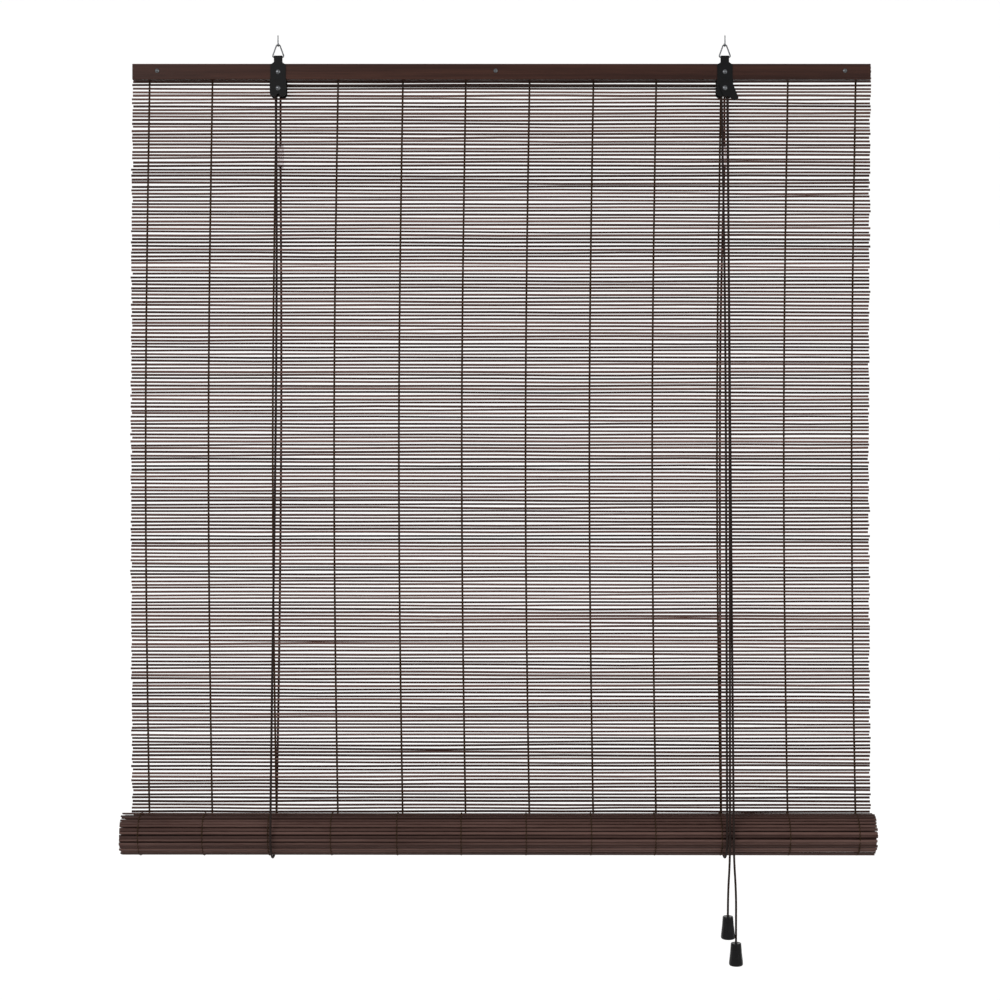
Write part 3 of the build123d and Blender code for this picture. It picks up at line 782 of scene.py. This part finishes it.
def braided_tube(name, points, sides=tube_sides):
    """A tube with a braid's outline, closed at both ends."""
    line, length = even_points([Vector(p) for p in points], strand_step)
    end = len(line) - 1
    tangents = [(line[min(i + 1, end)] - line[max(i - 1, 0)]).normalized() for i in range(len(line))]
    across = tangents[0].orthogonal().normalized()
    vertices, faces, maps = [], [], []
    for i, (spot, ahead) in enumerate(zip(line, tangents)):
        across = (across - ahead * across.dot(ahead)).normalized()
        other = ahead.cross(across)
        for j in range(sides):
            a = 2 * math.pi * j / sides
            swell = 1 + braid_swell * math.cos(4 * a + math.pi * i) if 0 < i < end else end_size
            outwards = across * math.cos(a) + other * math.sin(a)
            vertices.append(spot + outwards * cord_radius * braid_fullness * swell)
    for i in range(end):
        for j in range(sides):
            n = (j + 1) % sides
            faces.append((i * sides + j, i * sides + n, (i + 1) * sides + n, (i + 1) * sides + j))
            maps.append([(j / sides, i), ((j + 1) / sides, i), ((j + 1) / sides, i + 1), (j / sides, i + 1)])
    last = end * sides
    faces += [tuple(reversed(range(sides))), tuple(range(last, last + sides))]
    maps += [[(0.0, 0.0)] * sides] * 2
    mesh = bpy.data.meshes.new(name)
    mesh.from_pydata(vertices, [], faces)
    layer = mesh.uv_layers.new(name="strand")
    for polygon, corners in zip(mesh.polygons, maps):
        polygon.use_smooth = True
        for corner, (around, along) in zip(polygon.loop_indices, corners):
            layer.data[corner].uv = (around, along)
    mesh.materials.append(finishes["lift_cord"])
    print(name, "length", round(length, 4), "m,", len(mesh.polygons), "faces")
    return link_object(name, mesh)


def arc(centre, radius, start, end, plane):
    """Points on an arc, angles in degrees; plane names its two axes, such as "xz"."""
    points = []
    for k in range(arc_steps + 1):
        a = math.radians(start + (end - start) * k / arc_steps)
        spot = Vector(centre)
        setattr(spot, plane[0], getattr(spot, plane[0]) + radius * math.cos(a))
        setattr(spot, plane[1], getattr(spot, plane[1]) + radius * math.sin(a))
        points.append(spot)
    return points


# %% Read a smooth line from a NURBS curve
def nurbs_line(points):
    """The points of the NURBS line that has these control points."""
    data = bpy.data.curves.new("route", "CURVE")
    data.dimensions = "3D"
    data.resolution_u = 24
    spline = data.splines.new("NURBS")
    spline.points.add(len(points) - 1)
    for spot, place in zip(spline.points, points):
        spot.co = (*place, 1.0)
    spline.order_u = 3
    spline.use_endpoint_u = True
    route = link_object("route", data)
    mesh = bpy.data.meshes.new_from_object(route.evaluated_get(bpy.context.evaluated_depsgraph_get()))
    line = [v.co.copy() for v in mesh.vertices]
    bpy.data.objects.remove(route)
    bpy.data.meshes.remove(mesh)
    return line


# %% [markdown]
# ## The lifting cords
# Each lifting cord starts in a knot behind the rail, hangs down behind the curtain, where a clear
# connector breaks it once, passes under the roll and climbs in front to its pulley. The weight of the
# roll pulls it nearly straight, so the long stretches have only a few gentle bends. Stretches on
# different bodies are separate pieces that meet end to end.

# %% Lay the lifting cords
turn_radius = 4.2 * mm
upright_over = 12 * mm
upright_under = 6 * mm
sling_radius = (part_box("left_cord_sling")[1].y - roll_y) - cord_radius
pulleys = {side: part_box(side + "_pulley") for side in ("left", "right")}
axle_z = (pulleys["left"][0].z + pulleys["left"][1].z) / 2
axle_x = {side: (low.x + high.x) / 2 for side, (low, high) in pulleys.items()}
groove_in = 2.9 * mm
case_low, case_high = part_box("left_connector")
connector_y = (case_low.y + case_high.y) / 2
case_wall = 1 * mm
lower_knot_z = case_low.z + case_wall
front_groove = pulleys["right"][0].y + groove_in
back_groove = pulleys["right"][1].y - groove_in


def between(start, end, bends):
    """Start, bends given as (x, z) in mm that keep to the straight line's depth, and end."""
    middle = []
    for x, z in bends:
        share = (z * mm - start[2]) / (end[2] - start[2])
        middle.append((x * mm, start[1] + share * (end[1] - start[1]), z * mm))
    return [start, *middle, end]


def over(touch):
    """The cord lies upright against the roll for the last stretch above its side."""
    return (touch[0], touch[1], touch[2] + upright_over)


def under(top):
    """It leaves a pulley upright."""
    return (top[0], top[1], top[2] - upright_under)


def lay_lift_cord(side, groove_y, back_bends, front_bends):
    low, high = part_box(side + "_cord_sling")
    top_low, top_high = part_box(side + "_cord_top")
    x, hole_x = (low.x + high.x) / 2, (top_low.x + top_high.x) / 2
    reach = math.hypot(groove_y - roll_y, axle_z - roll_z)
    aim = math.degrees(math.atan2(axle_z - roll_z, groove_y - roll_y) + math.acos(sling_radius / reach))
    bight = arc((x, roll_y, roll_z), sling_radius, 0, aim - 360, "yz")
    below = between((hole_x, connector_y, lower_knot_z), over(bight[0]), back_bends)
    pulley_side = (axle_x[side] - turn_radius, groove_y, axle_z)
    before = [pulley_side, *between(under(pulley_side), bight[-1], front_bends)]
    top_run = braided_tube(side + "_cord_at_rail", [
        (hole_x, top_low.y + cord_radius, top_high.z), (hole_x, connector_y, top_low.z),
    ])
    back_run = braided_tube(side + "_cord_behind", nurbs_line([*below, bight[0]]))
    front_run = braided_tube(side + "_cord_before", nurbs_line(before))
    sling = braided_tube(side + "_cord_under_roll", bight)
    settle(top_run, "headrail", "lift_cord", side + "_cord_top")
    settle(back_run, "headrail", "lift_cord", side + "_cord_back_run")
    settle(front_run, "headrail", "lift_cord", side + "_cord_front_run")
    settle(sling, "slings", "lift_cord", side + "_cord_sling")
    shorten(back_run)
    shorten(front_run)


lay_lift_cord(
    "left", back_groove,
    ((-298.7, -350.0), (-298.9, -560.0), (-301.4, -830.0)),
    ((-302.2, -260.0), (-301.8, -560.0), (-304.8, -880.0)),
)
lay_lift_cord(
    "right", front_groove,
    ((297.2, -350.0), (296.2, -560.0), (296.8, -860.0)),
    ((299.6, -300.0), (299.9, -520.0), (298.7, -860.0)),
)

# %% Over the pulleys
crossing = arc((axle_x["left"], back_groove, axle_z), turn_radius, 180, 90, "xz")
crossing += arc((axle_x["right"], back_groove, axle_z), turn_radius, 90, 0, "xz")
settle(braided_tube("cord_along_rail", crossing), "headrail", "lift_cord", "cross_cord")
over_right = arc((axle_x["right"], front_groove, axle_z), turn_radius, 180, 0, "xz")
settle(braided_tube("cord_over_right_pulley", over_right), "headrail", "lift_cord", "right_cord_turn")

# %% [markdown]
# ## The tassels
# Each is a moulded bell that a hand can find in the dark, turned here from its outline. Shallow flutes
# run down its sides, the top is a little dished round the cord, and a knot inside holds the cord.

# %% Turn the tassels
def tassel(name, node):
    low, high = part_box(node)
    middle = (low + high) / 2
    height = high.z - low.z
    outline = [
        (1.3, 0.0), (1.5, -0.5), (3.6, -0.7), (5.4, -0.3), (6.3, 0.0), (6.8, -0.5), (7.0, -1.6),
        (7.35, -6.0), (7.8, -12.0), (8.5, -18.0), (9.1, -24.0), (9.3, -26.4), (9.3, -27.6),
        (9.0, -28.8), (8.3, -29.6), (7.3, -30.0), (6.7, -29.8), (6.3, -29.0), (6.1, -26.0),
        (5.4, -10.0), (5.0, -6.4), (4.4, -6.0), (1.3, -6.0),
    ]
    outline_height = 30
    sides, flutes = 72, 12
    flute_depth, flute_top, flute_length = 0.25, 2.0, 23.0
    vertices, faces = [], []
    for radius, drop in outline:
        share = min(max((-drop - flute_top) / flute_length, 0.0), 1.0)
        depth = flute_depth * math.sin(math.pi * share) if radius > 6.9 else 0.0
        for j in range(sides):
            a = 2 * math.pi * j / sides
            r = (radius - depth * (0.5 + 0.5 * math.cos(flutes * a))) * mm
            z = high.z + drop / outline_height * height
            vertices.append((middle.x + r * math.cos(a), middle.y + r * math.sin(a), z))
    rows = len(outline)
    for i in range(rows):
        for j in range(sides):
            n, below = (j + 1) % sides, (i + 1) % rows
            faces.append((i * sides + j, below * sides + j, below * sides + n, i * sides + n))
    mesh = bpy.data.meshes.new(name)
    mesh.from_pydata(vertices, [], faces)
    mesh.materials.append(finishes["tassel_plastic"])
    for polygon in mesh.polygons:
        polygon.use_smooth = True
    print(name, "faces", len(mesh.polygons))
    return link_object(name, mesh)


# %% [markdown]
# ## The pull cords
# These two hang free from the right bracket. They lean on the front of the roll and then drop to the
# tassels. The upper stretch shortens as the roll rises and the lower one grows, so they are two pieces:
# the upper one rides on the rail, and the lower one runs from the roll down to the tassel. Each follows
# a smooth NURBS line.

# %% Lay the pull cords
pull_top_x = axle_x["right"] + turn_radius
pull_front = roll_y - sling_radius
second_front = pull_front - 0.8 * mm
first_top = (pull_top_x, front_groove, axle_z)
second_top = (pull_top_x, back_groove, axle_z)
first_touch = (0.3018, pull_front, roll_z)
second_touch = (0.3068, pull_front, roll_z)
pull_routes = {
    1: {
        "upper": [first_top, *between(under(first_top), over(first_touch), [(304.9, -540.0)]), first_touch],
        "lower": [first_touch, (0.3018, pull_front, -1.096), (0.2990, pull_front, -1.141),
                  (0.2990, pull_front, -1.170)],
    },
    2: {
        "upper": [second_top, under(second_top), over(second_touch), second_touch],
        "lower": [second_touch, (0.3068, pull_front, -1.091), (0.3098, second_front, -1.140),
                  (0.3096, second_front, -1.180), (0.3096, second_front, -1.205)],
    },
}


for number, routes in pull_routes.items():
    body = f"tassel_{number}"
    bell = settle(tassel(body + "_bell", body), body, "tassel_plastic", body)
    upper_line, lower_line = nurbs_line(routes["upper"]), nurbs_line(routes["lower"])
    upper = braided_tube(f"pull_cord_{number}_above", upper_line)
    lower = braided_tube(f"pull_cord_{number}_below", lower_line)
    settle(upper, "headrail", "lift_cord", f"pull_cord_{number}_upper")
    shorten(upper)
    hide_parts(f"pull_cord_{number}_lower")
    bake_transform(lower)

# %% [markdown]
# ## Floor, backdrop and light
# A plain pale room keeps the eye on the blind. Two large soft lamps stand in front. The backdrop shows
# through the gaps between the slats, and it glows a little itself, so that it stays evenly white.

# %% Build the studio
def plain_sheet(name, corners, code, glow=0.0):
    material, tree = start_material(name + "_paint")
    finish_material(tree, Base_Color=colour(code), Roughness=0.9, Emission_Color=colour(code),
                    Emission_Strength=glow)
    mesh = bpy.data.meshes.new(name)
    mesh.from_pydata(corners, [], [(0, 1, 2, 3)])
    mesh.materials.append(material)
    piece = link_object(name, mesh)
    return piece


half = 16
floor_z = -4.2
back_y = 7.0
top_z = 8
plain_sheet("floor", [(-half, -half, floor_z), (half, -half, floor_z), (half, back_y, floor_z),
                      (-half, back_y, floor_z)], "#F4F4F2")
plain_sheet("backdrop", [(-half, back_y, floor_z), (half, back_y, floor_z), (half, back_y, top_z),
                         (-half, back_y, top_z)], "#F8F8F8", glow=0.56)


def soft_lamp(name, place, target, size, power):
    data = bpy.data.lights.new(name, "AREA")
    data.shape = "SQUARE"
    data.size = size
    data.energy = power
    lamp = bpy.data.objects.new(name, data)
    lamp.location = place
    lamp.rotation_mode = "QUATERNION"
    lamp.rotation_quaternion = (Vector(target) - Vector(place)).to_track_quat("-Z", "Y")
    bpy.context.scene.collection.objects.link(lamp)


middle = (0, 0, -0.6)
soft_lamp("left_lamp", (-2.2, -2.6, 1.0), middle, size=1.6, power=45)
soft_lamp("right_lamp", (2.4, -2.4, 0.2), middle, size=1.6, power=20)
world = bpy.data.worlds.new("pale_room")
world.use_nodes = True
background = world.node_tree.nodes["Background"].inputs
background["Color"].default_value = colour("#FFFFFF")
background["Strength"].default_value = 0.45
bpy.context.scene.world = world
bpy.context.scene.view_settings.view_transform = "Standard"
